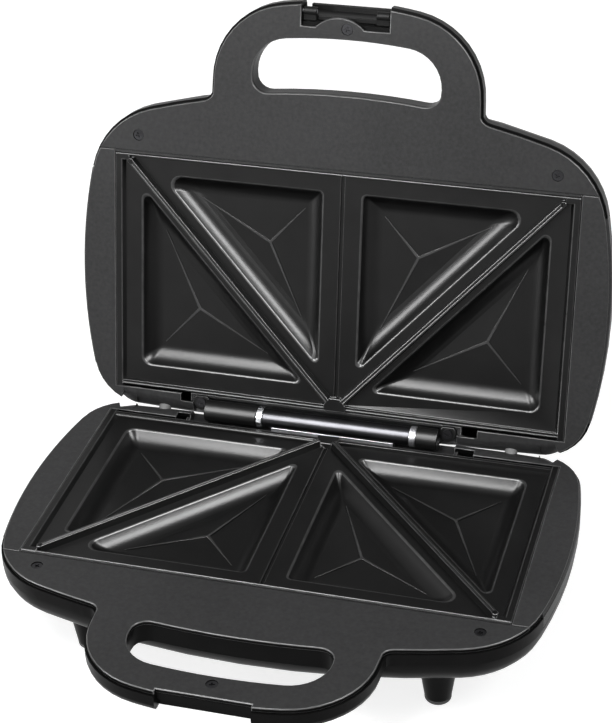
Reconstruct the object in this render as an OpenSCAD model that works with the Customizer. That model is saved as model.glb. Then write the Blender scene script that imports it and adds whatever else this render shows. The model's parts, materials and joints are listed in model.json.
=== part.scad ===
// Sandwich toaster: two hinged casings, each with a die-cast plate of four triangular pockets.
// X runs to the right, Y to the back and Z up. Half-casing modules are drawn for the base,
// opening upwards, with the hinge axis on X. The lid is the mirror image, swung open.

/* [Casing] */
// Width across the side frames
body_w = 287.4; // [270:0.2:310]
// Radius of the bowed sides
side_r = 283; // [240:1:400]
// Hinge axis to the widest point of the sides
side_back = 76.25; // [66:0.25:86]
// Width of the side frames, at the widest
side_frame = 18.7; // [17:0.1:22]
// Depth of the front cover on the middle line
front_cover = 40.7; // [38:0.1:50]
// Radius of the bowed front
front_r = 380; // [300:5:600]
// Radius of the two front corners
front_corner_r = 46; // [36:0.5:56]
// How far the casing reaches behind the hinge axis
rear_reach = 6.3; // [5:0.1:7]
// Radius of the nearly straight rear
rear_r = 2000; // [1500:50:4000]
// Radius of the two rear corners
rear_corner_r = 27; // [24.5:0.5:34]
// Wall of the casing
wall = 2.4; // [2:0.1:3]
// Height of each casing below its rim
shell_h = 26; // [25:0.5:34]
// Straight part of the casing wall, under the rim
wall_h = 6.6; // [5:0.2:9]
// How far the rounded underside draws in
bowl_in = 19; // [14:0.5:20]
// Gap left between the two rims when closed, per half
half_gap = 2; // [1.6:0.1:3]
// Thickness of the covers and frames
cover_t = 2.4; // [2:0.1:3]
// Ledge of casing that shows round a cover
seam = 1.2; // [0.8:0.1:1.8]
// Radius of the rolled rear lip
roll_r = 8; // [7:0.25:9]

/* [Handle] */
// How far the handle stands out in front of the body
handle_out = 48.35; // [46:0.05:58]
// Width of the handle
handle_w = 143.4; // [134:0.2:160]
// Radius of the handle's bowed front
handle_front_r = 210; // [160:5:320]
// Radius of the handle's corners
handle_corner_r = 43; // [30:0.5:50]
// Height of the handle below the rim
handle_h = 9.6; // [8.5:0.1:11]
// Radius of the necks between body and handle
neck_r = 5; // [3:0.5:8]
// Width of the finger hole
hole_w = 100; // [90:1:110]
// Depth of the finger hole at the middle
hole_l = 29; // [26:0.25:31]

/* [Cooking plate] */
// Depth of the cooking opening
plate_l = 133.3; // [120:0.1:150]
// Hinge axis to the back edge of the opening
plate_back = 7.1; // [7:0.1:9]
// Clearance round the plate
plate_gap = 0.3; // [0.2:0.05:0.6]
// Wall of the casting
plate_t = 2.2; // [1.8:0.1:2.6]
// Drop from the plate's rim to its field
field_drop = 2.2; // [1.6:0.1:3]
// Depth of the pockets below the field
pocket_h = 7; // [5:0.25:9]
// Radius of the rounded pocket walls
pocket_r = 10.5; // [9:0.25:14]
// Radius of the lip along the pocket edge
lip_r = 1.2; // [0.8:0.1:1.6]
// Side margin from the opening to the outer pockets
pocket_side = 14.2; // [12:0.2:18]
// Rear margin from the opening to the rear pockets
pocket_rear = 12.9; // [11:0.1:16]
// Front margin from the opening to the front pockets
pocket_front = 10.4; // [9:0.2:14]
// Half-width of the web between the front pockets
pocket_mid = 10; // [8:0.25:14]
// Ridge line to the edge of the rear pockets
web_rear = 4.9; // [4:0.1:6.5]
// Ridge line to the edge of the front pockets
web_front = 6.6; // [5:0.1:8]
// Width of the cutting ridges at their foot
ridge_w = 4.2; // [3.6:0.1:5]
// Width of the cutting ridges at their crest
crest_w = 2.6; // [2:0.1:3]
// Height of the cutting ridges above the field
ridge_h = 3.7; // [2.5:0.1:3.8]
// Front end of each cutting ridge, from the corner of the opening
ridge_inset = 9; // [7:0.25:12]
// Rear end of each cutting ridge, from the middle line
ridge_mid = 4; // [3.5:0.1:6]
// Width of the middle groove
groove_w = 1.8; // [1.2:0.1:2.4]
// Width of the side rims
rim_w = 3.4; // [2.6:0.1:4.4]
// Slope width of the step inside the side rims
step_w = 1.8; // [1:0.1:2.6]

/* [Hinge] */
// How far the lid opens from closed
open_angle = 101.77; // [90:0.1:104]
// Outer radius of the lid's hinge knuckles
knuckle_r = 5.8; // [5:0.1:6.1]
// Outer radius of the middle tube
tube_r = 5.1; // [4.4:0.1:5.6]
// Radius of the hinge pin
pin_r = 2.5; // [2:0.1:3]
// Clearance of the pin in its bores
pin_gap = 0.05; // [0.02:0.01:0.08]
// Length of the middle tube
tube_l = 81.6; // [76:0.2:84]
// Middle of the tube, to the right of the middle line
tube_mid = 2.2; // [0:0.1:3]
// Length of the left knuckle
knuckle_left_l = 29.4; // [24:0.2:31]
// Length of the right knuckle
knuckle_right_l = 11.6; // [10:0.2:16]
// Length of the ring at the left, and of the washers at the right
ring_l = 3.2; // [2.6:0.1:5]
// Axial play at each joint face
end_play = 0.2; // [0.1:0.05:0.4]
// Radius of the trough under the hinge
trough_r = 7.2; // [7:0.1:7.6]

/* [Latch] */
// Width of the latch
latch_w = 45.2; // [38:0.2:48]
// Off-centre place of the latch and handle screws
latch_x = -1.2; // [-4:0.1:0]
// Thickness of the latch plate
latch_t = 2.5; // [2:0.1:3]
// Pivot to the hook end of the latch
latch_l = 17.3; // [16:0.1:18]
// Height of the latch pivot above the parting plane
latch_up = 5.9; // [5.8:0.1:6.4]
// Radius of the latch's stub pins
latch_pin_r = 1.1; // [0.9:0.05:1.2]

/* [Feet] */
// Height of the hinge axis above the table
hinge_up = 53; // [50:0.5:62]
// Radius of a leg at its tip
leg_tip_r = 6.7; // [6:0.1:8]
// Radius of a leg where it meets the casing
leg_top_r = 10.2; // [9:0.1:12]
// Middle line to each leg
leg_x = 90; // [70:1:100]
// Hinge axis to the front legs
leg_front = 143; // [130:0.5:150]
// Hinge axis to the rear legs
leg_rear = 15; // [13:0.5:30]
// Height of the rubber foot pads
pad_h = 3; // [2:0.25:4]

/* [Inside] */
// Radius of the tubular heater
heater_r = 3.2; // [3:0.05:3.4]
// Thickness of the sheet reflector
sheet_t = 0.6; // [0.5:0.1:1]
// Radius of the cover screw heads
screw_r = 2.8; // [2.4:0.1:3.2]
// Radius of the cord inlet
inlet_r = 5; // [4:0.25:5.5]
// Radius of the two indicator lamps
lamp_r = 3; // [2.5:0.1:4]

/* [Hidden] */
$fn = 48;
eps = 0.01;
far = 400;

// Plan sizes that follow from the ones above
plate_w = body_w - 2 * side_frame;
front_reach = plate_back + plate_l + front_cover;
handle_reach = front_reach + handle_out;

// Levels of a half casing, from the hinge axis downwards
top_z = -half_gap;
rim_z = top_z - cover_t;
wall_z = rim_z - wall_h;
floor_z = rim_z - shell_h;
field_z = top_z - field_drop;
cast_z = field_z - pocket_h - plate_t;
handle_z = rim_z - handle_h;

// Placing: the origin is on the table, under the middle of the open toaster
hinge_y = 80.5;
module base_place() translate([0, hinge_y, hinge_up]) children();
module lid_place() base_place() rotate([-open_angle, 0, 0]) mirror([0, 0, 1]) children();

// ---- Plan outlines, from arcs that run into each other --------------------------------------
function polar(c, r, a) = c + r * [cos(a), sin(a)];
// Points along an arc, without its last one
function arc(c, r, a0, a1, n) = [for (i = [0:n - 1]) polar(c, r, a0 + (a1 - a0) * i / n)];
function bearing(from, to) = atan2(to[1] - from[1], to[0] - from[0]);
// Right-hand meeting point of two circles
function meet(c1, r1, c2, r2) =
    let (
        d = norm(c2 - c1),
        a = (r1 * r1 - r2 * r2 + d * d) / (2 * d),
        h = sqrt(r1 * r1 - a * a),
        u = (c2 - c1) / d,
        side = u[1] > 0 ? 1 : -1
    ) c1 + a * u + side * h * [u[1], -u[0]];
function reversed(v) = [for (i = [len(v) - 1:-1:0]) v[i]];
// A right-hand outline with its mirror image added
function both_sides(p) = concat(p, [for (q = reversed(p)) if (q[0] > eps) [-q[0], q[1]]]);

side_c = [body_w / 2 - side_r, -side_back];
front_c = [0, front_r - front_reach];
rear_c = [0, rear_reach - rear_r];
front_corner_c = meet(side_c, side_r - front_corner_r, front_c, front_r - front_corner_r);
rear_corner_c = meet(side_c, side_r - rear_corner_r, rear_c, rear_r - rear_corner_r);
rear_a = bearing(rear_c, rear_corner_c);
side_a1 = bearing(side_c, rear_corner_c);
side_a0 = bearing(side_c, front_corner_c);
front_a = bearing(front_c, front_corner_c);

// Body outline, drawn in by d all round, clockwise from the rear
function body_outline(d) = both_sides(concat(
    arc(rear_c, rear_r - d, 90, rear_a, 3),
    arc(rear_corner_c, rear_corner_r - d, rear_a, side_a1, 7),
    arc(side_c, side_r - d, side_a1, side_a0, 8),
    arc(front_corner_c, front_corner_r - d, side_a0, front_a, 8),
    arc(front_c, front_r - d, front_a, -90, 4),
    [[0, d - front_reach]]
));

handle_c = [0, handle_front_r - handle_reach];
handle_corner_x = handle_w / 2 - handle_corner_r;
handle_corner_c = [
    handle_corner_x,
    handle_c[1] - sqrt(pow(handle_front_r - handle_corner_r, 2) - pow(handle_corner_x, 2))
];
handle_a = bearing(handle_c, handle_corner_c);
handle_root = 20 - front_reach;
function handle_outline(d) = both_sides(concat(
    [[handle_w / 2 - d, handle_root]],
    arc(handle_corner_c, handle_corner_r - d, 0, handle_a, 10),
    arc(handle_c, handle_front_r - d, handle_a, -90, 6),
    [[0, d - handle_reach]]
));

// Finger hole, grown by d
hole_back = front_reach + 0.2;
hole_back_r = front_r + 20;
hole_front_r = 300;
hole_corner_r = 8;
hole_end_r = 20;
hole_back_c = [0, hole_back_r - hole_back];
hole_front_c = [0, hole_front_r - hole_back - hole_l];
hole_corner_x = hole_w / 2 - hole_corner_r;
hole_end_x = hole_w / 2 - hole_end_r;
hole_corner_c = [
    hole_corner_x,
    hole_back_c[1] - sqrt(pow(hole_back_r + hole_corner_r, 2) - pow(hole_corner_x, 2))
];
hole_end_c = [
    hole_end_x,
    hole_front_c[1] - sqrt(pow(hole_front_r - hole_end_r, 2) - pow(hole_end_x, 2))
];
hole_corner_a = bearing(hole_corner_c, hole_back_c);
hole_end_a = bearing(hole_front_c, hole_end_c);
module hole_2d(d) polygon(both_sides(concat(
    arc(hole_back_c, hole_back_r - d, -90, hole_corner_a - 180, 4),
    arc(hole_corner_c, hole_corner_r + d, hole_corner_a, 0, 6),
    arc(hole_end_c, hole_end_r + d, 0, hole_end_a, 8),
    arc(hole_front_c, hole_front_r + d, hole_end_a, -90, 4),
    [[0, -hole_back - hole_l - d]]
)));

// Rounded necks where the handle leaves the body
neck_c = [
    handle_w / 2 + neck_r,
    front_c[1] - sqrt(pow(front_r + neck_r, 2) - pow(handle_w / 2 + neck_r, 2))
];
neck_a = bearing(front_c, neck_c);
// Whole casing seen from above, drawn in by d
function casing_outline(d) = both_sides(concat(
    arc(rear_c, rear_r - d, 90, rear_a, 3),
    arc(rear_corner_c, rear_corner_r - d, rear_a, side_a1, 7),
    arc(side_c, side_r - d, side_a1, side_a0, 8),
    arc(front_corner_c, front_corner_r - d, side_a0, front_a, 8),
    arc(front_c, front_r - d, front_a, neck_a, 2),
    arc(neck_c, neck_r + d, neck_a + 180, 180, 4),
    arc(handle_corner_c, handle_corner_r - d, 0, handle_a, 10),
    arc(handle_c, handle_front_r - d, handle_a, -90, 6),
    [[0, d - handle_reach]]
));

// ---- Small helpers -------------------------------------------------------------------------
// Prism of a flat shape between two levels
module prism(low, high) translate([0, 0, low]) linear_extrude(high - low) children();
// Box from its lowest corner to its highest
module block(low, high) translate(low) cube(high - low);
// Rod along X
module rod(x0, x1, r) translate([x0, 0, 0]) rotate([0, 90, 0]) cylinder(h = x1 - x0, r = r);
// Upright post between two levels
module post(p, low, high, r) translate([p[0], p[1], low]) cylinder(h = high - low, r = r);
module pair() for (s = [0, 1]) mirror([s, 0, 0]) children();

// ---- Places that several pieces share ---------------------------------------------------------
opening_front = -(plate_back + plate_l);
seam_y = opening_front - 1.4;
crown_h = 2.4;
reflector_z = cast_z - 2 * heater_r - 4.4;
inner_z = floor_z + wall;
cover_screw = [plate_w / 2 - 13.2, opening_front - 10.15];
handle_screw = [0, 13.7 - handle_reach];
plate_screw_x = plate_w / 2 - 8.6;
plate_screws = [[plate_screw_x, -plate_back - 16.9], [plate_screw_x, opening_front + 14.4]];
thread_r = 1.6;
post_r = 4.2;
cradle_w = 68;
cradle_t = 7;
cradle_back = 2.2;
cradle_z = -14.4;
cradle_screw = [25, -6];
cradle_foot = 10.5;
cradle_foot_t = 1.6;
legs = [[leg_x, -leg_front], [leg_x, -leg_rear]];
inlet = [60, 0, -18];
wrap_z = rim_z - 6;
roll_z = top_z - roll_r;
roll_a = 90 - rear_a;
roll_wrap = 22;
relief = 0.6;

// Latch places, from the hinge axis, on the lid's side of the parting plane
latch_gap = 0.6;
latch_wall = 5;
notch_w = latch_w + 2 * latch_gap;
latch_y = 6.4 - handle_reach;
latch_off = 2.15;
hook_h = 2.5;
hook_l = 1;
hook_gap = 0.3;
notch_lid_y = latch_y + latch_off + latch_t + latch_gap;
notch_base_y = latch_y - latch_off + hook_gap + 0.1;
ledge_y = latch_y + hook_l + latch_gap;
ledge_z = latch_up - latch_l + hook_h + hook_gap;

// ---- Casing --------------------------------------------------------------------------------
crown_c = [0, (rear_reach - front_reach) / 2];
function ring_at(inset, z) = [for (p = body_outline(inset)) [p[0], p[1], z]];
function crown_at(inset, share, z) =
    [for (p = body_outline(inset)) let (q = crown_c + (p - crown_c) * share) [q[0], q[1], z]];
bowl_steps = 6;
// Rings of the rounded underside, lowest first
function bowl(inset, low, high) = [
    for (i = [bowl_steps:-1:0]) let (a = 90 * i / bowl_steps)
        ring_at(inset + (bowl_in - inset / 2) * (1 - cos(a)), high + (low - high) * sin(a))
];
// Skin that joins clockwise rings of equal length and closes both ends
module skin(rings) {
    n = len(rings[0]);
    m = len(rings);
    polyhedron(
        points = [for (r = rings) each r],
        faces = concat(
            [[for (i = [n - 1:-1:0]) i]],
            [for (k = [0:m - 2]) for (i = [0:n - 1]) let (j = (i + 1) % n, a = k * n, b = a + n)
                each [[a + i, a + j, b + j], [a + i, b + j, b + i]]],
            [[for (i = [0:n - 1]) (m - 1) * n + i]]
        )
    );
}
// Up the outside from the crown to the rim, and down the inside again
module body_bowl() skin(concat(
    [crown_at(bowl_in, 0.45, floor_z), crown_at(bowl_in, 0.8, floor_z + crown_h / 3)],
    bowl(0, floor_z + crown_h, wall_z),
    [ring_at(0, rim_z), ring_at(wall, rim_z)],
    reversed(bowl(wall, inner_z + crown_h, wall_z)),
    [
        crown_at(bowl_in + wall / 2, 0.8, inner_z + crown_h / 3),
        crown_at(bowl_in + wall / 2, 0.45, inner_z)
    ]
));

handle_round = 4;
// Lower half of the handle, a tray with a rounded edge
module handle_tray(solid_y) difference() {
    union() {
        hull() for (i = [0:3]) let (a = 30 * i)
            prism(handle_z + handle_round * (1 - sin(a)), handle_z + handle_round + eps)
                polygon(handle_outline(handle_round * (1 - cos(a))));
        prism(handle_z + handle_round, rim_z) intersection() {
            polygon(casing_outline(0));
            translate([-far, -far]) square([2 * far, far + handle_root]);
        }
    }
    prism(handle_z - 1, rim_z + 1) polygon(body_outline(wall));
    prism(handle_z + wall, rim_z + 1) difference() {
        polygon(handle_outline(wall));
        polygon(body_outline(0));
        hole_2d(wall);
        translate([latch_x - notch_w / 2 - latch_wall, solid_y - far])
            square([notch_w + 2 * latch_wall, far]);
        translate(handle_screw) circle(post_r);
    }
}

// Bands that follow the bowed sides and the rear; the flat shape's x is measured from the outline
module side_band(trim = 0) pair() translate([side_c[0], side_c[1], 0])
    rotate([0, 0, side_a0 + trim])
        rotate_extrude(angle = side_a1 - side_a0 - 2 * trim, $fn = 240)
        translate([side_r, 0]) children();
module rear_band() {
    translate([rear_c[0], rear_c[1], 0]) rotate([0, 0, rear_a])
        rotate_extrude(angle = 2 * roll_a, $fn = 900) translate([rear_r, 0]) children();
    pair() translate([rear_corner_c[0], rear_corner_c[1], 0]) rotate([0, 0, rear_a - roll_wrap])
        rotate_extrude(angle = roll_wrap, $fn = 240) translate([rear_corner_r, 0]) children();
}

// Room for the other half when the lid stands open
module hinge_relief() rotate([-open_angle / 2, 0, 0])
    translate([-far, -far / 8, -relief]) cube([2 * far, far, far]);
module trough(r = trough_r) rod(trough_x0, trough_x1, r);
module latch_notch(y) block([latch_x - notch_w / 2, -far, -far], [latch_x + notch_w / 2, y, far]);

module casing(notch_y) {
    difference() {
        union() {
            body_bowl();
            handle_tray(notch_y + wall);
            pair() for (p = plate_screws) post(p, floor_z + 4, reflector_z, post_r);
            pair() post(cover_screw, floor_z + 6, rim_z, post_r);
        }
        side_band() translate([-wall - 1, wrap_z]) square([wall + 2, far]);
        rear_band() translate([-wall - 1, roll_z]) square([wall + 2, far]);
        trough(trough_r + wall + 0.2);
        hinge_relief();
        prism(handle_z - 1, 0) hole_2d(0);
        latch_notch(notch_y);
        pair() for (p = plate_screws) {
            post(p, floor_z - 2, floor_z + 4, screw_r + 0.4);
            post(p, floor_z, 0, thread_r);
        }
        pair() post(cover_screw, rim_z - 10, 0, thread_r);
        post(handle_screw, handle_z + wall, 0, thread_r);
    }
}

module base_shell() color("#26272a") base_place() difference() {
    union() {
        casing(notch_base_y);
        pair() for (p = legs)
            translate([p[0], p[1], pad_h - hinge_up])
                cylinder(h = hinge_up - pad_h + inner_z + crown_h / 2, r1 = leg_tip_r, r2 = leg_top_r);
        pair() post(cradle_screw, floor_z + 4, cradle_z - cradle_foot_t, post_r);
        post(terminal_at, floor_z + 1, inner_z + 2, 9);
    }
    block([latch_x - notch_w / 2, -far, -far], [latch_x + notch_w / 2, ledge_y, ledge_z]);
    pair() post(cradle_screw, floor_z + 8, 0, thread_r);
    translate(inlet) rotate([-90, 0, 0]) cylinder(h = 40, r = inlet_r);
}
module lid_shell() color("#26272a") lid_place() difference() {
    casing(notch_lid_y);
    for (p = lamps) post(p, floor_z - 2, 0, lamp_r + 0.15);
    rod_at_latch(notch_w / 2 + 3, latch_pin_r);
}
lamps = [[-9, -112], [9, -112]];

// ---- Covers and frames ------------------------------------------------------------------------
module screw_hole(p) {
    post(p, rim_z + 0.8, 0, screw_r + 0.2);
    post(p, rim_z - 1, 0, thread_r);
}
module cover(notch_y) difference() {
    prism(rim_z, top_z) difference() {
        polygon(casing_outline(seam));
        for (x = [plate_w / 2 - 0.15, 0.15 - plate_w / 2 - far]) translate([x, seam_y]) square(far);
        translate([-far, opening_front]) square([2 * far, far]);
        hole_2d(0);
    }
    latch_notch(notch_y);
    pair() screw_hole(cover_screw);
    screw_hole(handle_screw);
}
module base_cover() color("#3b3c3f") base_place() cover(notch_base_y);

boss_r = 18;
boss_x = -4;
boss_y = latch_y + 1.8;
module lid_cover() color("#3b3c3f") lid_place() difference() {
    union() {
        cover(notch_lid_y + 2);
        intersection() {
            post([boss_x, boss_y + boss_r], rim_z, top_z, boss_r);
            block([boss_x - 13.5, boss_y, rim_z], [boss_x + 13.5, notch_lid_y + 3, top_z]);
        }
    }
    screw_hole(handle_screw);
}

edge_r = 2.2;
// Slots at the ends of the trough
slot_left_l = 7;
slot_right_l = 11;
slot_y = -2.6;
// Side and rear frame round the cooking plate
module frame() difference() {
    union() {
        prism(rim_z, top_z) difference() {
            polygon(body_outline(seam));
            translate([-plate_w / 2, seam_y - 1]) square([plate_w, 1 - plate_back - seam_y]);
            translate([-far, seam_y + 0.15 - far]) square([2 * far, far]);
        }
        side_band(0.1) polygon(concat(
            [[-wall, wrap_z], [-wall, top_z]],
            arc([-edge_r, top_z - edge_r], edge_r, 90, 0, 4),
            [[0, top_z - edge_r], [0, wrap_z]]
        ));
        rear_band() polygon(concat(
            arc([-roll_r, roll_z], roll_r - cover_t, 0, 90, 9),
            [[-roll_r + 0.3, top_z - 1], [0.5, top_z - 1], [0.5, roll_z]]
        ));
        // Skirt beside the plate and the trough that the hinge lies in
        pair() block([plate_w / 2, opening_front + 1, cast_z], [plate_w / 2 + 1.6, -plate_back, rim_z]);
        difference() {
            rod(trough_x0 - 2, trough_x1 + 2, trough_r + wall);
            block([-far, -far, top_z], [far, far, far]);
            block([-far, -far, -far], [far, -plate_back, far]);
            rear_band_outside();
        }
    }
    trough();
    block([trough_x0, -plate_back - 1, rim_z - 0.1], [trough_x1, 0, 0]);
    block([trough_x0 - slot_left_l, -plate_back - 1, rim_z - 0.1], [trough_x1 + slot_right_l, slot_y, 0]);
    rear_band() difference() {
        translate([-roll_r, roll_z - 1]) square(2 * roll_r);
        translate([-roll_r, roll_z + 0.02]) circle(roll_r, $fn = 48);
    }
    hinge_relief();
}
module rear_band_outside() block([-far, rear_reach - 1.4, -far], [far, far, far]);

cradle_slot = 0.3;
module base_frame() color("#3b3c3f") base_place() difference() {
    frame();
    block(
        [-cradle_w / 2 - cradle_slot, -cradle_t / 2 - cradle_slot, -far],
        [cradle_w / 2 + cradle_slot, cradle_t / 2 + cradle_slot, 0]
    );
    bumper_at() cylinder(h = 20, r = bumper_r, center = true);
}
pad_r = 3.2;
module lid_frame() color("#3b3c3f") lid_place() difference() {
    union() {
        frame();
        for (e = ears) post(e, -10, -ear_z, pad_r);
    }
    for (e = ears) post(e, -9, 0, thread_r);
}

// ---- Cooking plates ---------------------------------------------------------------------------
pw = plate_w / 2 - plate_gap;
plate_y0 = opening_front + plate_gap;
plate_y1 = -plate_back - plate_gap;
ridge_a = [ridge_mid, plate_y1 - 5.8];
ridge_b = [plate_w / 2 - ridge_inset, opening_front + 4.2];
ridge_u = (ridge_b - ridge_a) / norm(ridge_b - ridge_a);
ridge_n = [-ridge_u[1], ridge_u[0]];
wall_in = sqrt(pow(pocket_r + lip_r, 2) - pow(pocket_r - pocket_h + lip_r, 2));
crest_z = field_z + ridge_h;

// Meeting point of two lines, each a point and a direction
function cross_at(p, u, q, v) =
    p + u * ((q[0] - p[0]) * v[1] - (q[1] - p[1]) * v[0]) / (u[0] * v[1] - u[1] * v[0]);
rear_line = ridge_a + web_rear * ridge_n;
front_line = ridge_a - web_front * ridge_n;
rear_pocket = [
    cross_at(rear_line, ridge_u, [0, -plate_back - pocket_rear], [1, 0]),
    cross_at(rear_line, ridge_u, [plate_w / 2 - pocket_side, 0], [0, 1]),
    [plate_w / 2 - pocket_side, -plate_back - pocket_rear]
];
front_pocket = [
    cross_at(front_line, ridge_u, [pocket_mid, 0], [0, 1]),
    [pocket_mid, opening_front + pocket_front],
    cross_at(front_line, ridge_u, [0, opening_front + pocket_front], [1, 0])
];
corner_radii = [2.5, 3, 5.5];

module casting_section() intersection() {
    union() {
        translate([wall_in, pocket_r - pocket_h]) circle(pocket_r + plate_t);
        translate([wall_in, -pocket_h - plate_t]) square([far, pocket_h]);
    }
    translate([-far, -pocket_h - plate_t]) square([2 * far, pocket_h + plate_t / 2]);
}
// Body whose sides all have one section, standing on a triangle given anticlockwise
module three_sided(v) intersection_for(i = [0:2]) let (p = v[i], q = v[(i + 1) % 3])
    translate([p[0], p[1], field_z]) rotate([0, 0, bearing(p, q)]) rotate([90, 0, 90])
        translate([0, 0, -60]) linear_extrude(norm(q - p) + 120) children();
// Arc that rounds the corner b between its neighbours
function corner(a, b, c, r) =
    let (
        u = (a - b) / norm(a - b),
        w = (c - b) / norm(c - b),
        half = acos(u * w) / 2,
        m = b + (u + w) / norm(u + w) * r / sin(half),
        from = bearing(m, b + u * r / tan(half))
    ) concat(arc(m, r, from, from + 180 - 2 * half, 5), [polar(m, r, from + 180 - 2 * half)]);
function rounded(v, radii) =
    [for (i = [0:2]) each corner(v[(i + 2) % 3], v[i], v[(i + 1) % 3], radii[i])];

// Triangle drawn in by d on all sides
function drawn_in(v, d) = [for (i = [0:2]) let (
    u = (v[(i + 2) % 3] - v[i]) / norm(v[(i + 2) % 3] - v[i]),
    w = (v[(i + 1) % 3] - v[i]) / norm(v[(i + 1) % 3] - v[i])
) v[i] + (u + w) / norm(u + w) * d / sin(acos(u * w) / 2)];
function pocket_ring(v, d, z) = [
    for (q = reversed(rounded(drawn_in(v, d), [for (r = corner_radii) max(r - d / 2, 0.8)])))
        [q[0], q[1], field_z + z]
];
wall_c = [wall_in, pocket_r - pocket_h];
wall_a = bearing([0, -lip_r], wall_c);
// Section of a pocket side from the floor up to the lip: how far in, and how high
side_steps = concat(
    [for (i = [0:5]) polar(wall_c, pocket_r, 270 - (90 - wall_a) * i / 5)],
    [for (i = [1:3]) polar([0, -lip_r], lip_r, wall_a + (90 - wall_a) * i / 3)]
);
module pocket(v) skin(concat(
    [for (p = side_steps) pocket_ring(v, p[0], p[1])],
    [pocket_ring(v, 0, 5)]
));
// Raised lines on a pocket floor, tapering from where they join
module floor_lines(v) {
    m = (v[0] + v[1] + v[2]) / 3;
    prism(field_z - pocket_h - eps, field_z - pocket_h + 0.5) for (p = v) let (
        q = m + (p - m) * 0.62,
        n = [m[1] - p[1], p[0] - m[0]] / norm(p - m)
    ) polygon([m - n * 0.7, q - n * 0.15, q + n * 0.15, m + n * 0.7]);
}
module ridge() translate([ridge_a[0], ridge_a[1], 0]) rotate([0, 0, bearing(ridge_a, ridge_b)])
    rotate([90, 0, 90]) linear_extrude(norm(ridge_b - ridge_a)) polygon([
        [-ridge_w / 2, field_z - eps], [-crest_w / 2, crest_z], [-0.4, crest_z], [0, crest_z - 0.5],
        [0.4, crest_z], [crest_w / 2, crest_z], [ridge_w / 2, field_z - eps]
    ]);
module rim_section() polygon([
    [0, field_z - plate_t], [0, top_z], [-rim_w, top_z], [-rim_w - step_w, field_z],
    [-rim_w - step_w, field_z - plate_t]
]);
module cooking_plate() difference() {
    union() {
        block([-pw, plate_y0, field_z - plate_t], [pw, plate_y1, field_z]);
        pair() {
            for (v = [rear_pocket, front_pocket]) three_sided(v) casting_section();
            translate([pw, plate_y0, 0]) rotate([90, 0, 0]) mirror([0, 0, 1])
                linear_extrude(plate_y1 - plate_y0) rim_section();
            block([ridge_b[0] + 1, plate_y0, field_z], [pw, plate_y0 + 3.6, top_z]);
            ridge();
            post(ridge_b, field_z - eps, crest_z, crest_w / 2 + 0.3);
            for (p = plate_screws) post(p, reflector_z + sheet_t, field_z - 1, post_r - 0.8);
        }
        // Lips along the rear and the front, and the lump where the ridges meet
        translate([-pw, plate_y1, 0]) rotate([90, 0, 90]) linear_extrude(2 * pw) polygon([
            [-4, field_z], [-3.6, top_z], [-3, top_z - 0.5], [-2.2, top_z - 0.5], [-1.6, top_z],
            [-1.2, field_z], [-1.2, field_z - 1], [-4, field_z - 1]
        ]);
        block([-pw, plate_y0, field_z - 1], [pw, plate_y0 + 1.2, top_z - 0.6]);
        prism(field_z - 1, crest_z - 0.6) polygon([
            [-6, plate_y1 - 0.8], [6, plate_y1 - 0.8], [6, plate_y1 - 4], [3, plate_y1 - 8],
            [-3, plate_y1 - 8], [-6, plate_y1 - 4]
        ]);
        post(strap_post, strap_z, field_z - 1, 3.4);
    }
    difference() {
        pair() for (v = [rear_pocket, front_pocket]) pocket(v);
        pair() for (v = [rear_pocket, front_pocket]) floor_lines(v);
    }
    block([-groove_w / 2, plate_y0 + 1.2, field_z - 1.1], [groove_w / 2, plate_y1 - 8, field_z + 1]);
    pair() for (p = plate_screws) post(p, -far, field_z - 1.2, thread_r);
    post(strap_post, -far, field_z - 1.2, thread_r);
}
module base_plate() color("#18191b") base_place() cooking_plate();
module lid_plate() color("#18191b") lid_place() cooking_plate();

// ---- Heaters, reflectors and their fastenings ------------------------------------------------
heater_gap = 0.05;
heater_z = cast_z - heater_r - heater_gap;
run_y = [-plate_back - 37.9, opening_front + 28.4];
run_x = plate_w / 2 - 29;
bend_x = run_x - 154;
cold_pin_l = 8;
cold_pin_r = 1.6;
strap_z = heater_z - heater_r - heater_gap;
strap_post = [0, (run_y[0] + run_y[1]) / 2];
module heater() {
    bend_r = (run_y[0] - run_y[1]) / 2;
    translate([0, 0, heater_z]) {
        for (y = run_y) translate([0, y, 0]) {
            rod(bend_x, run_x, heater_r);
            rod(run_x, run_x + cold_pin_l, cold_pin_r);
        }
        translate([bend_x, strap_post[1], 0]) rotate([0, 0, 90]) rotate_extrude(angle = 180)
            translate([bend_r, 0]) circle(heater_r);
    }
}
strap_w = 12;
strap_t = 1;
module heater_strap() difference() {
    union() {
        block([-strap_w / 2, run_y[1] - heater_r, strap_z - strap_t], [strap_w / 2, run_y[0] + heater_r, strap_z]);
        post(strap_post, strap_z - 2.6 * strap_t, strap_z, strap_w / 4);
    }
    post(strap_post, strap_z - 5 * strap_t, 0, strap_w / 15);
}
sheet_x = plate_w / 2 - 5.6;
sheet_y0 = opening_front + 3;
sheet_y1 = -plate_back - 5;
sheet_edge = 8;
module reflector() difference() {
    union() {
        block([-sheet_x, sheet_y0, reflector_z], [sheet_x, sheet_y1, reflector_z + sheet_t]);
        for (y = [sheet_y0, sheet_y1 - sheet_t])
            block([-sheet_x, y, reflector_z], [sheet_x, y + sheet_t, reflector_z + sheet_edge]);
    }
    block([terminal_at[0] - 13, terminal_at[1] - 7, -far], [terminal_at[0] + 13, 0, 0]);
    pair() for (p = plate_screws) post(p, -far, 0, thread_r);
}
// Round-headed screw standing on its head
module screw(p, low, length, head_r, head_h) {
    post(p, low, low + head_h, head_r);
    post(p, low, low + length, thread_r - 0.05);
}
module plate_screw_set() pair() for (p = plate_screws)
    screw(p, floor_z + 1.8, field_z - 2 - floor_z - 1.8, screw_r, 2.2);
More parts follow.
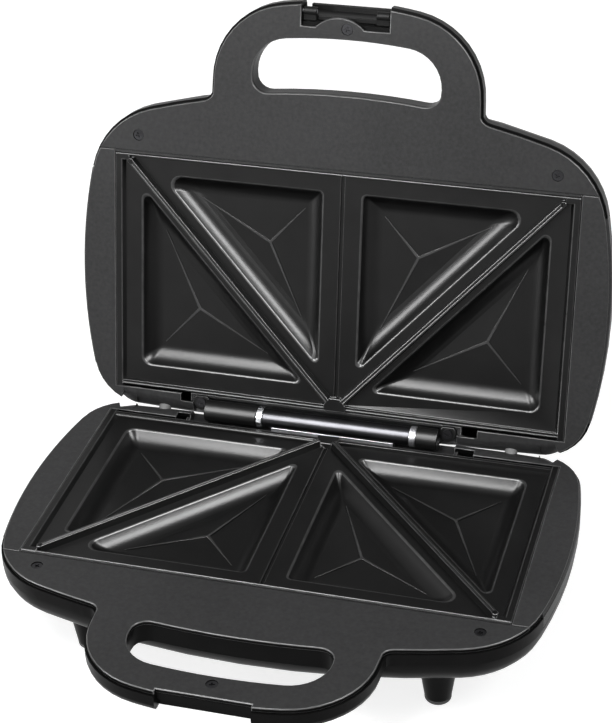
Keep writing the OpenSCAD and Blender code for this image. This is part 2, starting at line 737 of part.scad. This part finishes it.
// Screw hanging in its cover, with a cross recess
module cover_screw_at(p) difference() {
    union() {
        post(p, rim_z + 0.8, rim_z + 2, screw_r);
        post(p, rim_z - 7, rim_z + 1, thread_r - 0.05);
    }
    for (a = [0, 90]) translate([p[0], p[1], rim_z + 2]) rotate([0, 0, a + 20])
        cube([2.8, 0.7, 1.6], center = true);
}
module cover_screw_set() {
    pair() cover_screw_at(cover_screw);
    cover_screw_at(handle_screw);
}
module base_heater() color("#6d6a66") base_place() heater();
module lid_heater() color("#6d6a66") lid_place() heater();
module base_heater_strap() color("#b8babd") base_place() heater_strap();
module lid_heater_strap() color("#b8babd") lid_place() heater_strap();
module base_reflector() color("#c9cacc") base_place() reflector();
module lid_reflector() color("#c9cacc") lid_place() reflector();
module base_plate_screws() color("#9b9da0") base_place() plate_screw_set();
module lid_plate_screws() color("#9b9da0") lid_place() plate_screw_set();
module base_cover_screws() color("#44464a") base_place() cover_screw_set();
module lid_cover_screws() color("#44464a") lid_place() cover_screw_set();

terminal_at = [-40, -26];
thermostat_at = [run_x - 10, run_y[0] - 17];
module thermostat() color("#8a8278") base_place() {
    post(thermostat_at, cast_z - 4, cast_z, 8);
    post(thermostat_at, cast_z - 7, cast_z - 4, 6);
    for (s = [-1, 1]) block([thermostat_at[0] + s * 3 - 1.5, thermostat_at[1] + 5, cast_z - 6.6],
        [thermostat_at[0] + s * 3 + 1.5, thermostat_at[1] + 12, cast_z - 5.8]);
}
module thermal_fuse() color("#d8d2c0") base_place() translate([-38, run_y[1] + 17, cast_z - 2.05]) {
    rod(-9, 9, 2);
    rod(-16, 16, 0.6);
}
module terminal_block() color("#d9d4c8") base_place() difference() {
    translate([terminal_at[0], terminal_at[1], 0]) block([-10, -4, inner_z + 2], [10, 4, inner_z + 6]);
    for (x = [-6, 0, 6]) post([terminal_at[0] + x, terminal_at[1]], inner_z + 4, inner_z + 8, 1.4);
}
module foot_pads() color("#1b1b1c") base_place() pair() for (p = legs)
    translate([p[0], p[1], -hinge_up]) rotate_extrude() {
        square([leg_tip_r - 2, pad_h]);
        translate([leg_tip_r - 2, 2]) intersection() {
            circle(2);
            translate([0, -2]) square(2);
        }
        translate([0, 2]) square([leg_tip_r, pad_h - 2]);
    }
module cord_gland() color("#1f2022") base_place() translate([inlet[0], 0, inlet[2]]) rotate([-90, 0, 0])
    difference() {
        union() {
            cylinder(h = rear_reach + 1.2, r = inlet_r - 0.1);
            translate([0, 0, rear_reach - 0.2]) cylinder(h = 1.6, r = inlet_r + 1.4);
        }
        translate([0, 0, -1]) cylinder(h = 20, r = inlet_r - 1.8);
    }

// ---- Hinge ----------------------------------------------------------------------------------
tube_x0 = tube_mid - tube_l / 2;
tube_x1 = tube_mid + tube_l / 2;
ring_x = tube_x0 - end_play;
left_x1 = ring_x - ring_l - end_play;
left_x0 = left_x1 - knuckle_left_l;
washer_x = tube_x1 + end_play;
right_x0 = washer_x + ring_l + end_play;
right_x1 = right_x0 + knuckle_right_l;
bore_r = pin_r + pin_gap;
ear_z = half_gap + cover_t;
ears = [[left_x0 - 3.7, -3.4], [right_x1 + 4.4, -3.2]];
ear_r = 4.6;
trough_x0 = ears[0][0] - ear_r - 0.3;
trough_x1 = ears[1][0] + ear_r + 0.3;
module hinge_tube() color("#8f9193") base_place() difference() {
    rod(tube_x0, tube_x1, tube_r);
    rod(tube_x0 - 1, tube_x1 + 1, bore_r);
}
module hinge_pin() color("#c4c6c8") base_place() rod(left_x0 + 1, right_x1 - 1, pin_r);
module hinge_ring() color("#e3e4e6") base_place() difference() {
    rod(ring_x - ring_l, ring_x, knuckle_r);
    rod(ring_x - ring_l - 1, ring_x + 1, bore_r);
}
module hinge_washers() color("#4a4c4f") base_place() difference() {
    for (i = [0:3]) {
        x = washer_x + i * ring_l / 4;
        rod(x, x + ring_l / 8, knuckle_r - 0.2);
        rod(x, x + ring_l / 4, knuckle_r - 1.2);
    }
    rod(washer_x - 1, washer_x + ring_l + 1, bore_r);
}
// Steel cradle that carries the middle tube, with its foot on two posts of the casing
module hinge_cradle() color("#9a9c9f") base_place() difference() {
    union() {
        block([-cradle_w / 2, -cradle_t / 2, cradle_z], [cradle_w / 2, cradle_back, -2.6]);
        block([-cradle_w / 2, -cradle_foot, cradle_z - cradle_foot_t], [cradle_w / 2, cradle_back, cradle_z]);
    }
    rod(-far, far, tube_r + 0.1);
    pair() post(cradle_screw, -far, 0, thread_r);
}
// Lid knuckle with the ear that is screwed to the lid's frame
module knuckle(x0, x1, ear, side) lid_place() difference() {
    union() {
        rod(x0, x1, knuckle_r);
        intersection() {
            union() {
                post(ear, -ear_z, -half_gap, ear_r);
                translate([0, 0, -ear_z]) linear_extrude(cover_t) polygon([
                    [ear[0] - side * 2, ear[1] + 4.2], [ear[0] - side * 4, ear[1] - 2],
                    [side > 0 ? x1 : x0, -knuckle_r + 1], [side > 0 ? x1 : x0, knuckle_r - 2]
                ]);
            }
            block([-far, -plate_back + 0.2, -far], [far, far, far]);
        }
    }
    rod(x0 - 1, x1 + 1, bore_r);
    post(ear, -far, far, thread_r);
}
module knuckle_left() color("#2b2c2e") knuckle(left_x0, left_x1, ears[0], -1);
module knuckle_right() color("#2b2c2e") knuckle(right_x0, right_x1, ears[1], 1);
module knuckle_screws() color("#55575a") lid_place() for (e = ears) difference() {
    union() {
        post(e, -half_gap, -half_gap + 1, screw_r - 0.2);
        post(e, -half_gap - 6, -half_gap, thread_r - 0.05);
    }
    for (a = [0, 90]) translate([e[0], e[1], -half_gap + 1]) rotate([0, 0, a + 30])
        cube([2.8, 0.7, 1.2], center = true);
}
bumper_r = 3.4;
bumper_x = body_w / 2 - 46.7;
bumper_y = rear_c[1] + sqrt(pow(rear_r, 2) - pow(bumper_x - bumper_r, 2)) - roll_r;
// Axis of the bumpers: square to the rolled lip, towards the open lid
module bumper_at() pair() translate([bumper_x, bumper_y, roll_z]) rotate([-open_angle / 2, 0, 0])
    children();
bumper_reach = -roll_z * cos(open_angle / 2) - bumper_y * sin(open_angle / 2);
bumper_l = 2 * bumper_reach - 2 * roll_r + cover_t - 0.1;
module stop_bumpers() color("#1b1b1c") base_place() bumper_at()
    translate([0, 0, roll_r - cover_t]) cylinder(h = bumper_l, r = bumper_r - 0.05);

// ---- Lamps --------------------------------------------------------------------------------------
module lamp(p) post(p, floor_z - 1.2, inner_z + 1, lamp_r);
module power_lamp() color("#b3221c") lid_place() lamp(lamps[0]);
module ready_lamp() color("#2f8f3a") lid_place() lamp(lamps[1]);
module lamp_bracket() color("#d9d4c8") lid_place()
    block([-18, -118, inner_z + 1], [18, -106, inner_z + 2.4]);

// ---- Latch ------------------------------------------------------------------------------------
// Places a shape at the latch's pivot, in the lid
module latch_place() lid_place() translate([latch_x, latch_y, -latch_up]) children();
module rod_at_latch(reach, r) translate([latch_x, latch_y, -latch_up]) rod(-reach, reach, r);
arm_w = 7;
module latch_pins() color("#9b9da0") latch_place() pair()
    rod(latch_w / 2 - arm_w, notch_w / 2 + 2.8, latch_pin_r - 0.03);
module latch() color("#34363a") latch_place() difference() {
    union() {
        block([-latch_w / 2, latch_off, -latch_l], [latch_w / 2, latch_off + latch_t, -1]);
        block([-latch_w / 2, -hook_l, -latch_l], [latch_w / 2, latch_off + eps, hook_h - latch_l]);
        pair() {
            rod(latch_w / 2 - arm_w, latch_w / 2, 2.3);
            block([latch_w / 2 - arm_w, 0, -2.3], [latch_w / 2, latch_off + latch_t, 1.6]);
        }
    }
    rod(-latch_w, latch_w, latch_pin_r + pin_gap);
}

// ---- Drawing ------------------------------------------------------------------------------------
base_shell();
base_cover();
base_frame();
base_plate();
base_heater();
base_heater_strap();
base_reflector();
base_plate_screws();
base_cover_screws();
foot_pads();
hinge_tube();
hinge_cradle();
hinge_pin();
hinge_ring();
hinge_washers();
stop_bumpers();
thermostat();
thermal_fuse();
terminal_block();
cord_gland();
lid_shell();
lid_cover();
lid_frame();
lid_plate();
lid_heater();
lid_heater_strap();
lid_reflector();
lid_plate_screws();
lid_cover_screws();
knuckle_left();
knuckle_right();
knuckle_screws();
power_lamp();
ready_lamp();
lamp_bracket();
latch_pins();
latch();
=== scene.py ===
import json
import math

import bmesh
import bpy
from mathutils import Matrix, Vector


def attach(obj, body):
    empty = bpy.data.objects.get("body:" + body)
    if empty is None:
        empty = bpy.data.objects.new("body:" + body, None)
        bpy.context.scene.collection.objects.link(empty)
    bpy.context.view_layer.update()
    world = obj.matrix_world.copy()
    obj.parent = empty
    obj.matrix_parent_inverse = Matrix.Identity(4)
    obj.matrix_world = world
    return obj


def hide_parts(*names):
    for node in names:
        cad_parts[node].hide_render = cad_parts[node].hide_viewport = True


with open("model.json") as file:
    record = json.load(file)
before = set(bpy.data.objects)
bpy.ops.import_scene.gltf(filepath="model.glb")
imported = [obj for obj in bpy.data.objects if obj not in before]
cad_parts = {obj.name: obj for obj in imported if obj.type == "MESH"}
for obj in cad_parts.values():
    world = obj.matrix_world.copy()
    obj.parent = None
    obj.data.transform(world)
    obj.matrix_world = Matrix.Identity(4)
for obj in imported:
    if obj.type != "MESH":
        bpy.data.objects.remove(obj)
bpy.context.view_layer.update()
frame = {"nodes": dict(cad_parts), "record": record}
nodes = frame["nodes"]

# ---- Camera: long lens, a little to the right of the front and above ------------------------
AZIMUTH, ELEVATION, ROLL = (math.radians(a) for a in (16.535, 31.824, -1.925))
EYE = Vector((0.2599, -0.84184, 0.68933))
FOCAL_PX, LONG_SIDE_PX, SENSOR = 2128.5, 723, 36.0
FARTHEST = 20


def place_camera():
    right = Vector((math.cos(AZIMUTH), math.sin(AZIMUTH), 0))
    back = Vector((math.sin(AZIMUTH) * math.cos(ELEVATION),
                   -math.cos(AZIMUTH) * math.cos(ELEVATION), math.sin(ELEVATION)))
    up = back.cross(right)
    turn = Matrix.Rotation(ROLL, 3, back)
    right, up = turn @ right, turn @ up
    data = bpy.data.cameras.new("camera")
    data.lens = FOCAL_PX / LONG_SIDE_PX * SENSOR
    data.sensor_width = SENSOR
    data.clip_end = FARTHEST
    camera = bpy.data.objects.new("camera", data)
    camera.matrix_world = Matrix((
        (right.x, up.x, back.x, EYE.x),
        (right.y, up.y, back.y, EYE.y),
        (right.z, up.z, back.z, EYE.z),
        (0, 0, 0, 1)))
    bpy.context.collection.objects.link(camera)
    bpy.context.scene.camera = camera


place_camera()
bpy.context.scene.view_settings.view_transform = "Standard"


# ---- Shared effects -------------------------------------------------------------------------
def new_group(name, inputs, outputs):
    group = bpy.data.node_groups.new(name, "ShaderNodeTree")
    for label, kind, value in inputs:
        socket = group.interface.new_socket(label, in_out="INPUT", socket_type=kind)
        if value is not None:
            socket.default_value = value
    for label, kind in outputs:
        group.interface.new_socket(label, in_out="OUTPUT", socket_type=kind)
    return group, group.nodes.new("NodeGroupInput"), group.nodes.new("NodeGroupOutput")


def add(tree, kind, **values):
    node = tree.nodes.new(kind)
    for key, value in values.items():
        setattr(node, key, value)
    return node


def maths(tree, operation, a, b=None, c=None):
    """A Math node's output; each of a, b and c is a number or another node's socket."""
    node = add(tree, "ShaderNodeMath", operation=operation)
    for index, value in enumerate((a, b, c)):
        if value is None:
            continue
        if hasattr(value, "node"):
            tree.links.new(value, node.inputs[index])
        else:
            node.inputs[index].default_value = value
    return node.outputs[0]


# Noise scales, in turns per metre
GRAIN_SCALE, MOTTLE_SCALE, SMUDGE_SCALE = 2500.0, 90.0, 14.0


def grain_group():
    """Fine moulded or sprayed grain: a height, a mottle mask and a soft smudge mask."""
    group, source, sink = new_group("surface_grain", [
        ("Vector", "NodeSocketVector", None),
        ("Grain", "NodeSocketFloat", GRAIN_SCALE),
        ("Mottle", "NodeSocketFloat", MOTTLE_SCALE),
        ("Smudge", "NodeSocketFloat", SMUDGE_SCALE),
    ], [(label, "NodeSocketFloat") for label in ("Height", "Mottle", "Smudge")])
    for label, detail, out in (("Grain", 2.0, "Height"), ("Mottle", 3.0, "Mottle"),
                               ("Smudge", 4.0, "Smudge")):
        noise = add(group, "ShaderNodeTexNoise")
        noise.inputs["Detail"].default_value = detail
        group.links.new(source.outputs["Vector"], noise.inputs["Vector"])
        group.links.new(source.outputs[label], noise.inputs["Scale"])
        group.links.new(noise.outputs["Fac"], sink.inputs[out])
    return group


GRAIN = grain_group()
TONE_FROM, TONE_TO = 0.3, 0.7              # stretch of the blended masks that the two tones span
MOTTLE_SHARE, SMUDGE_SHARE = 0.6, 0.4


def finish(name, dark, light, rough, rough_spread, bump,
           grain=GRAIN_SCALE, mottle=MOTTLE_SCALE, smudge=SMUDGE_SCALE, **fixed):
    """A surface whose colour runs between two tones, with grain relief and uneven gloss."""
    material = bpy.data.materials.new(name)
    material.use_nodes = True
    tree = material.node_tree
    shader = tree.nodes["Principled BSDF"]
    place = add(tree, "ShaderNodeTexCoord")
    effect = add(tree, "ShaderNodeGroup", node_tree=GRAIN)
    tree.links.new(place.outputs["Object"], effect.inputs["Vector"])
    for label, value in (("Grain", grain), ("Mottle", mottle), ("Smudge", smudge)):
        effect.inputs[label].default_value = value

    tone = add(tree, "ShaderNodeValToRGB")
    first, last = tone.color_ramp.elements
    first.position, last.position = TONE_FROM, TONE_TO
    first.color, last.color = (*dark, 1), (*light, 1)
    blend = maths(tree, "MULTIPLY_ADD", effect.outputs["Mottle"], MOTTLE_SHARE,
                  maths(tree, "MULTIPLY", effect.outputs["Smudge"], SMUDGE_SHARE))
    tree.links.new(blend, tone.inputs["Fac"])
    tree.links.new(tone.outputs["Color"], shader.inputs["Base Color"])

    # Both masks average one half, so 0.75 of the spread comes off to keep rough the mean
    gloss = maths(tree, "MULTIPLY_ADD", effect.outputs["Smudge"], rough_spread,
                  maths(tree, "MULTIPLY_ADD", effect.outputs["Mottle"], rough_spread / 2,
                        rough - 0.75 * rough_spread))
    tree.links.new(gloss, shader.inputs["Roughness"])

    relief = add(tree, "ShaderNodeBump")
    relief.inputs["Strength"].default_value = 1.0
    relief.inputs["Distance"].default_value = bump
    tree.links.new(effect.outputs["Height"], relief.inputs["Height"])
    tree.links.new(relief.outputs["Normal"], shader.inputs["Normal"])
    for label, value in fixed.items():
        shader.inputs[label.replace("_", " ")].default_value = value
    return material


def grey(level):
    return (level, level, level)


FINISHES = {
    "casing": finish("casing_plastic", grey(0.0025), grey(0.005), 0.34, 0.10, 0.00002,
                     Specular_IOR_Level=0.04),
    "cover": finish("cover_plastic", (0.030, 0.030, 0.0305), (0.047, 0.047, 0.048),
                    0.42, 0.10, 0.00008, mottle=520.0, Specular_IOR_Level=0.07),
    "plate": finish("non_stick", grey(0.003), grey(0.005), 0.30, 0.08, 0.00003,
                    grain=3500.0, Specular_IOR_Level=0.14),
    "knuckle": finish("knuckle_gloss", grey(0.004), grey(0.006), 0.36, 0.06, 0.00001,
                      Specular_IOR_Level=0.14),
    "bright": finish("bright_ring", (0.55, 0.56, 0.58), (0.66, 0.67, 0.69),
                     0.16, 0.08, 0.00001, Metallic=1.0),
    "steel": finish("plain_steel", (0.36, 0.36, 0.37), (0.48, 0.48, 0.50),
                    0.34, 0.14, 0.00002, Metallic=1.0),
    "tube": finish("dark_chrome", (0.016, 0.016, 0.017), (0.026, 0.026, 0.028),
                   0.30, 0.08, 0.00001, Metallic=1.0),
    "screw": finish("blackened_screw", (0.016, 0.016, 0.017), (0.03, 0.03, 0.032),
                    0.30, 0.10, 0.00002, Metallic=1.0),
    "rubber": finish("black_rubber", grey(0.012), grey(0.020), 0.75, 0.14, 0.00006),
    "heater": finish("heated_sheath", (0.14, 0.11, 0.08), (0.24, 0.22, 0.20),
                     0.42, 0.2, 0.00003, Metallic=1.0),
    "sheet": finish("rolled_sheet", (0.56, 0.57, 0.58), (0.70, 0.71, 0.72),
                    0.32, 0.16, 0.00002, Metallic=1.0),
    "ceramic": finish("unglazed_ceramic", (0.50, 0.45, 0.36), (0.62, 0.57, 0.48),
                      0.7, 0.2, 0.00004),
    "red_lens": finish("red_lens", (0.30, 0.010, 0.008), (0.42, 0.020, 0.014),
                       0.16, 0.06, 0.00001),
    "green_lens": finish("green_lens", (0.010, 0.16, 0.03), (0.02, 0.24, 0.05),
                         0.16, 0.06, 0.00001),
    "latch": finish("latch_plastic", grey(0.006), grey(0.009), 0.44, 0.10, 0.00003,
                    Specular_IOR_Level=0.05),
}
# Broken edges, lighter than the face beside them: partly wear, partly a painted highlight
EDGE_WEAR_AND_HIGHLIGHT = {
    "cover": finish("cover_edge_wear_and_highlight", grey(0.08), grey(0.15), 0.34, 0.10, 0.00001,
                    mottle=160.0, Specular_IOR_Level=0.12),
    "plate": finish("non_stick_edge_wear_and_highlight", grey(0.02), grey(0.06), 0.30, 0.10, 0.00001,
                    mottle=160.0, Specular_IOR_Level=0.25),
    "casing": finish("casing_edge_wear_and_highlight", grey(0.02), grey(0.05), 0.32, 0.10, 0.00001,
                     mottle=160.0, Specular_IOR_Level=0.2),
}

slot_of = {entry["node"]: entry["material_slot"] for entry in frame["record"]["subparts"]}
body_of = {name: body for body, names in frame["record"]["behaviour"]["bodies"].items()
           for name in names}
for name, obj in nodes.items():
    obj.data.materials.clear()
    obj.data.materials.append(FINISHES[slot_of[name]])

# ---- The two halves: hinge axis at y = 0 and z = 0, the plane where they close at z = 0 ------
HINGE = Vector((0, 0.0805, 0.053))
OPEN = math.radians(101.77)
to_base = Matrix.Translation(HINGE)
to_open = to_base @ Matrix.Rotation(-OPEN, 4, "X") @ Matrix.Diagonal((1, 1, -1, 1))

FIELD_LEVEL = -0.0042                      # flat field round the pockets of a plate
FLOOR_LEVEL = -0.0112                      # floor of the pockets
RIB = 0.0005                               # height of the Y-shaped lines on that floor
POCKET_LIP = 0.0012                        # depth of the rounding at the top of a pocket
COVER_FOOT = -0.0045                       # walls of a cover take the casing's near-black finish above this: painted shade of the seam

# Rolled rear lip
LIP_FRONT = -0.0005                        # from here to the rear it may move
LIP_BLEND = 0.001                          # and it moves in full this far behind that
LIP_END, LIP_FADE = 0.124, 0.008           # half length, and the length over which its end fades
LIP_FOOT, LIP_RISE = -0.0098, 0.003        # lowest level that moves, and the height of its fade
LIP_BOW = 0.105                            # push over the square of the distance from the middle
LIP_ROOM = 0.0006                          # left to the plane that halves the opening angle


def fuller_lip(place):
    """Bring a rolled rear lip's ends out towards the other half, up to the hinge's room."""
    back = place.inverted()
    rise, run = math.sin(OPEN / 2), math.cos(OPEN / 2)

    def shape(build):
        for vertex in build.verts:
            spot = back @ vertex.co
            across = abs(spot.x)
            room = -LIP_ROOM - (rise * spot.y + run * spot.z)
            if spot.y < LIP_FRONT or across > LIP_END or room <= 0:
                continue
            push = min(LIP_BOW * across * across, room / rise)
            push *= min(1, max(0, (spot.z - LIP_FOOT) / LIP_RISE))
            push *= min(1, (LIP_END - across) / LIP_FADE)
            spot.y += push * min(1, (spot.y - LIP_FRONT) / LIP_BLEND)
            vertex.co = place @ spot
    return shape


SHAPED = {"base_frame": fuller_lip(to_base), "lid_frame": fuller_lip(to_open)}

# ---- Eased copies of the CAD nodes ----------------------------------------------------------
SHARP = math.radians(28)
FLAT = math.radians(0.6)
SAME_PLACE, SLIVER, ON_LEVEL = 2e-6, 1e-6, 1e-5
SHORTEST = {"cover": 0.0009}               # edges under this stay sharp
SHORTEST_ELSEWHERE = 0.00001
ROOM_SHARE = 0.45                          # of the narrower face beside an edge
RIB_SHARE = 0.2                            # of the full width, on the thin ribs
RIBS_FROM, WALLS_FROM = 0.0002, 0.0006     # height over a pocket's floor
# Slot 1 is the lighter edge finish (partly wear, partly painted highlight); slot 2 is the
# casing's near-black finish as painted shade on a cover's walls
WEAR_AND_HIGHLIGHT_SLOT, SEAM_SHADE_WALL_SLOT = 1, 2
LIP_TILT = (0.5, 0.995)                    # upward share of the normal on a pocket's lip
UPRIGHT = 0.2                              # and at most this much on a wall


def is_rib_top(level):
    return abs(level - FLOOR_LEVEL - RIB) < ON_LEVEL


def merged(name):
    """A CAD node's loose triangles as one mesh, with flat areas made whole."""
    build = bmesh.new()
    build.from_mesh(nodes[name].data)
    bmesh.ops.remove_doubles(build, verts=build.verts, dist=SAME_PLACE)
    bmesh.ops.dissolve_degenerate(build, dist=SLIVER, edges=build.edges)
    bmesh.ops.dissolve_limit(build, angle_limit=FLAT, use_dissolve_boundaries=False,
                             verts=build.verts, edges=build.edges)
    return build


def weigh_edges(build, slot, width, back):
    """Give each sharp outward edge the share of width that the faces beside it can spare."""
    weight = build.edges.layers.float.new("bevel_weight_edge")
    shortest = SHORTEST.get(slot, SHORTEST_ELSEWHERE)
    for edge in build.edges:
        if (not edge.is_manifold or edge.calc_face_angle_signed() <= SHARP
                or edge.calc_length() <= shortest):
            continue
        room = min(face.calc_area() / edge.calc_length() for face in edge.link_faces)
        low = min((back @ vertex.co).z for vertex in edge.verts)
        if slot != "plate" or low > FLOOR_LEVEL + WALLS_FROM:
            edge[weight] = min(1, ROOM_SHARE * room / width)
        elif low > FLOOR_LEVEL + RIBS_FROM:
            edge[weight] = RIB_SHARE


def paint_faces(build, slot, back):
    """Pocket lips and rib tops get the lighter edge finish as a painted highlight, and a cover's
    upright walls the casing's near-black finish as painted shade of the seam.
    """
    tilt = back.to_3x3()
    for face in build.faces:
        up, level = (tilt @ face.normal).z, (back @ face.calc_center_median()).z
        pocket_lip = (LIP_TILT[0] < up < LIP_TILT[1]
                      and FIELD_LEVEL - POCKET_LIP < level < FIELD_LEVEL)
        # Lips and rib tops are coloured lighter: a painted highlight
        if slot == "plate" and (pocket_lip or is_rib_top(level)):
            face.material_index = WEAR_AND_HIGHLIGHT_SLOT
        # Upright cover walls are coloured near-black: painted shade of the seam under the
        # cover's edge
        if slot == "cover" and abs(up) < UPRIGHT and level > COVER_FOOT:
            face.material_index = SEAM_SHADE_WALL_SLOT


def as_object(name, build, materials):
    """A finished bmesh as an object, smooth but for its sharp edges."""
    mesh = bpy.data.meshes.new(name)
    build.to_mesh(mesh)
    build.free()
    mesh.shade_smooth()
    mesh.set_sharp_from_angle(angle=SHARP)
    for material in materials:
        mesh.materials.append(material)
    piece = bpy.data.objects.new(name, mesh)
    bpy.context.collection.objects.link(piece)
    return piece


def eased(name, width):
    """A merged copy of a CAD node, smooth where it is curved, with its edges broken by width."""
    slot, body = slot_of[name], body_of[name]
    back = (to_open if body == "lid" else to_base).inverted()
    build = merged(name)
    if name in SHAPED:
        SHAPED[name](build)
    if slot == "plate":
        rib_tops = [face for face in build.faces
                    if is_rib_top((back @ face.calc_center_median()).z)]
        bmesh.ops.triangulate(build, faces=rib_tops)
    if width:
        weigh_edges(build, slot, width, back)
    paint_faces(build, slot, back)
    wear_and_highlight = EDGE_WEAR_AND_HIGHLIGHT.get(slot)
    materials = [FINISHES[slot], wear_and_highlight, FINISHES["casing"]] if wear_and_highlight else [FINISHES[slot]]
    piece = as_object(name + "_eased", build, materials)
    if width:
        bevel = piece.modifiers.new("edges", "BEVEL")
        bevel.width = width
        bevel.segments = 2
        bevel.limit_method = "WEIGHT"
        bevel.use_clamp_overlap = False
        # Bevel faces take the lighter edge finish, partly wear and partly a painted highlight
        bevel.material = WEAR_AND_HIGHLIGHT_SLOT if wear_and_highlight else -1
    even = piece.modifiers.new("even_shade", "WEIGHTED_NORMAL")
    even.keep_sharp = True
    even.weight = 100
    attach(piece, body)
    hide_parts(name)


EASED = {
    "base_shell": 0, "lid_shell": 0,
    "base_plate": 0.00035, "lid_plate": 0.00035,
    "base_frame": 0.0004, "lid_frame": 0.0004,
    "base_cover": 0.0005, "lid_cover": 0.0005, "latch": 0.0004,
    "hinge_tube": 0.0003, "hinge_ring": 0.0004, "knuckle_left": 0.0004, "knuckle_right": 0.0004,
    "hinge_washers": 0.0001, "stop_bumpers": 0.0004, "foot_pads": 0, "hinge_cradle": 0.0002,
    "power_lamp": 0.0005, "ready_lamp": 0.0005, "cord_gland": 0.0003,
}
for name, width in EASED.items():
    eased(name, width)

# ---- Beads that close the front edge of each cooking plate, lighter as a painted highlight ---
PLATE_HALF = 0.1246
PLATE_FRONT = -0.1400
BEAD_LEVEL = -0.0023                       # its middle, just under the cover's face
BEAD = 0.0005                              # its radius


def front_bead(name, node, place):
    """A half-sunk rod along the plate's front rim, rising just past the cover beside it."""
    build = bmesh.new()
    bmesh.ops.create_cone(build, cap_ends=True, segments=16, radius1=BEAD, radius2=BEAD,
                          depth=2 * PLATE_HALF, matrix=Matrix.Rotation(math.pi / 2, 4, "Y"))
    seat = place @ Matrix.Translation((0, PLATE_FRONT + BEAD, BEAD_LEVEL))
    bmesh.ops.transform(build, matrix=seat, verts=build.verts)
    bmesh.ops.recalc_face_normals(build, faces=build.faces)
    # The bead takes the lighter edge finish: a painted highlight along the plate's front rim
    piece = as_object(name, build, [EDGE_WEAR_AND_HIGHLIGHT["plate"]])
    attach(piece, body_of[node])


front_bead("base_front_bead", "base_plate", to_base)
front_bead("lid_front_bead", "lid_plate", to_open)

# ---- Stage and light ------------------------------------------------------------------------
FLOOR_SIZE = 6
FLOOR_TONE = 0.5
FLOOR_GLOW = 0.8
WORLD_LIGHT = 0.25                         # on the object; camera and gloss see a white world


def seen_share(tree):
    """1 for camera, glossy and transmission rays."""
    path = add(tree, "ShaderNodeLightPath")
    both = maths(tree, "MAXIMUM", path.outputs["Is Camera Ray"], path.outputs["Is Glossy Ray"])
    return maths(tree, "MAXIMUM", both, path.outputs["Is Transmission Ray"])


def make_floor():
    mesh = bpy.data.meshes.new("floor")
    build = bmesh.new()
    bmesh.ops.create_grid(build, x_segments=1, y_segments=1, size=FLOOR_SIZE)
    build.to_mesh(mesh)
    build.free()
    floor = bpy.data.objects.new("floor", mesh)
    bpy.context.collection.objects.link(floor)
    material = bpy.data.materials.new("pale_floor")
    material.use_nodes = True
    tree = material.node_tree
    shader = tree.nodes["Principled BSDF"]
    shader.inputs["Base Color"].default_value = (*grey(FLOOR_TONE), 1)
    shader.inputs["Roughness"].default_value = 0.8
    shader.inputs["Specular IOR Level"].default_value = 0.2
    shader.inputs["Emission Color"].default_value = (1, 1, 1, 1)
    tree.links.new(maths(tree, "MULTIPLY", seen_share(tree), FLOOR_GLOW),
                   shader.inputs["Emission Strength"])
    mesh.materials.append(material)


def make_world():
    world = bpy.data.worlds.new("studio")
    bpy.context.scene.world = world
    world.use_nodes = True
    tree = world.node_tree
    back = tree.nodes["Background"]
    back.inputs["Color"].default_value = (1, 1, 1, 1)
    tree.links.new(maths(tree, "MULTIPLY_ADD", seen_share(tree), 1 - WORLD_LIGHT, WORLD_LIGHT),
                   back.inputs["Strength"])


def softbox(name, place, target, width, height, power, gloss_only=False):
    data = bpy.data.lights.new(name, "AREA")
    data.shape = "RECTANGLE"
    data.size, data.size_y = width, height
    data.energy = power
    lamp = bpy.data.objects.new(name, data)
    lamp.location = place
    lamp.rotation_euler = (Vector(target) - Vector(place)).to_track_quat("-Z", "Y").to_euler()
    lamp.visible_diffuse = not gloss_only
    bpy.context.collection.objects.link(lamp)


MIDDLE = (0, 0, 0.1)
make_floor()
make_world()
softbox("top", (-0.34, -0.6, 1.3), MIDDLE, 0.6, 0.5, 9)
softbox("front", (0.3, -1.6, 0.7), (0, 0.05, 0.12), 0.7, 0.7, 5)
softbox("right", (0.9, -0.2, 1.02), MIDDLE, 0.4, 0.3, 3.5)
softbox("left", (-1.04, -0.65, 0.56), MIDDLE, 0.4, 0.3, 2)
# Strips that only gloss shows, for the long highlights on the slopes of the pockets
softbox("strip_top", (-0.352, -0.957, 1.13), MIDDLE, 0.36, 1.3, 100, gloss_only=True)
softbox("strip_right", (0.92, -0.2, 1.02), MIDDLE, 0.45, 0.8, 70, gloss_only=True)
softbox("strip_left", (-1.1, -0.65, 0.56), MIDDLE, 0.4, 0.7, 50, gloss_only=True)
